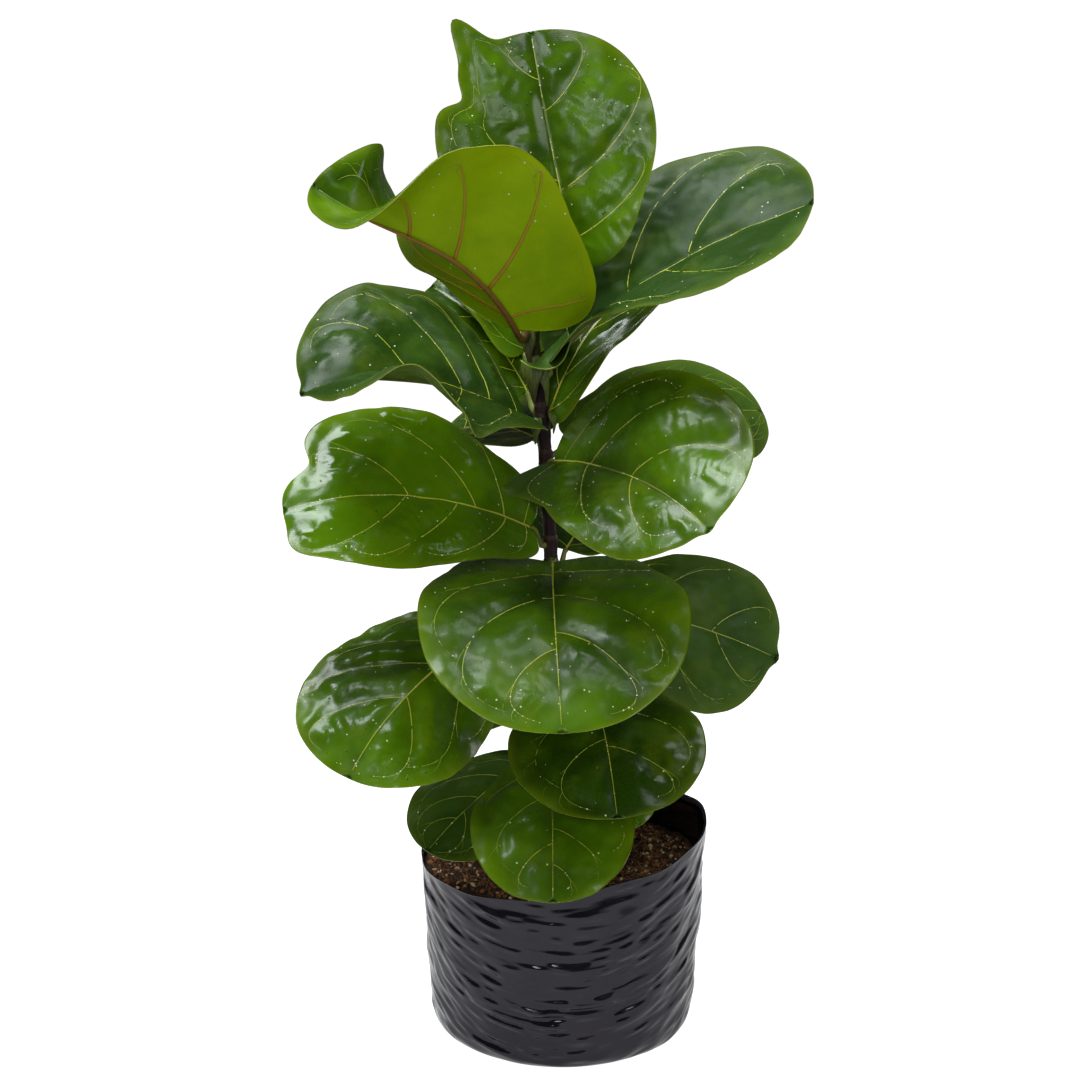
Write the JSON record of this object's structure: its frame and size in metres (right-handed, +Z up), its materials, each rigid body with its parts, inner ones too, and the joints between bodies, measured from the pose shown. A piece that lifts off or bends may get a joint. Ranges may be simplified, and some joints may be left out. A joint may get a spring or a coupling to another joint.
{
  "type": "potted fiddle leaf fig",
  "caption": "Young fiddle leaf fig with broad waved leaves on one slender leaning stem, growing in a soft film grow bag of soil and standing on the bag's flat floor.",
  "frame": {"origin": "middle of the bag's flat floor, on the face that the plant stands on", "axes": "+Z up along the stem, -Y the front as pictured, +X to the viewer's right"},
  "size_m": [0.3748, 0.3712, 0.757],
  "materials": {
    "grow_bag_film": "black polyethylene film, semi-gloss, creased",
    "potting_soil": "loose dark brown coir potting mix with pale grit",
    "stem_bark": "dull dark purple-brown bark",
    "leaf_green": "leathery glossy green leaf with paler veins"
  },
  "bodies": {
    "root": {"grow_bag": "grow_bag_film", "soil": "potting_soil", "stem": "stem_bark", "leaf_01": "leaf_green", "leaf_02": "leaf_green", "leaf_03": "leaf_green", "leaf_04": "leaf_green", "leaf_05": "leaf_green", "leaf_06": "leaf_green", "leaf_07": "leaf_green", "leaf_08": "leaf_green", "leaf_09": "leaf_green", "leaf_10": "leaf_green", "leaf_11": "leaf_green", "leaf_12": "leaf_green", "leaf_13": "leaf_green", "leaf_14": "leaf_green", "leaf_15": "leaf_green", "leaf_16": "leaf_green", "leaf_17": "leaf_green", "leaf_18": "leaf_green", "leaf_19": "leaf_green", "leaf_20": "leaf_green"}
  },
  "joints": []
}
